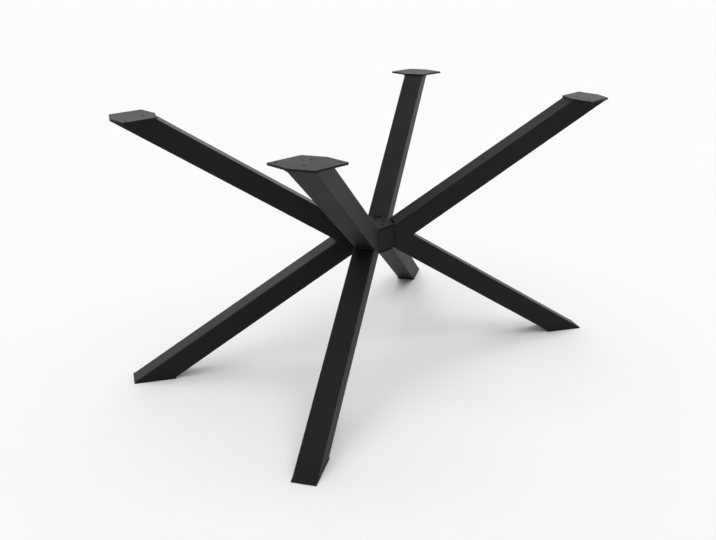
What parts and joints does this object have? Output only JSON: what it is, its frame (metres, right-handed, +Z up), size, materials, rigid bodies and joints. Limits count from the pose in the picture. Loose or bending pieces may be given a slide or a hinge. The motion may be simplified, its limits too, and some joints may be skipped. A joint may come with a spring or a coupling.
{
  "type": "four star table base",
  "caption": "X-shaped steel base for a dining table: V-shaped square tube units around a hexagonal hub, with plates for the top and flat feet.",
  "frame": {"origin": "on the floor under the middle of the hub, the centre of the base's footprint", "axes": "+Z up, from the floor to the table top; +X along the long side of the table; +Y along its short side"},
  "size_m": [1.2376, 0.752, 0.74],
  "materials": {
    "black_powder_coat": "fine-textured matt black powder coat on steel",
    "black_oxide_steel": "black oxide on steel screws",
    "zinc_plated_steel": "bright zinc plate on steel fasteners, hidden inside the hub"
  },
  "bodies": {
    "root": {"upper_arm_left_front": "black_powder_coat", "lower_leg_left_front": "black_powder_coat", "top_plate_left_front": "black_powder_coat", "foot_plate_left_front": "black_powder_coat", "end_plate_left_front": "black_powder_coat", "upper_arm_right_front": "black_powder_coat", "lower_leg_right_front": "black_powder_coat", "top_plate_right_front": "black_powder_coat", "foot_plate_right_front": "black_powder_coat", "end_plate_right_front": "black_powder_coat", "upper_arm_right_back": "black_powder_coat", "lower_leg_right_back": "black_powder_coat", "top_plate_right_back": "black_powder_coat", "foot_plate_right_back": "black_powder_coat", "end_plate_right_back": "black_powder_coat", "upper_arm_left_back": "black_powder_coat", "lower_leg_left_back": "black_powder_coat", "top_plate_left_back": "black_powder_coat", "foot_plate_left_back": "black_powder_coat", "end_plate_left_back": "black_powder_coat", "hub_body": "black_powder_coat", "hub_lid_upper": "black_powder_coat", "hub_lid_lower": "black_powder_coat", "lid_screws_upper": "black_oxide_steel", "lid_screws_lower": "black_oxide_steel", "hub_bolts": "zinc_plated_steel", "hub_washers": "zinc_plated_steel", "weld_nuts": "zinc_plated_steel", "lid_lugs_upper": "black_powder_coat", "lid_lugs_lower": "black_powder_coat"}
  },
  "joints": []
}
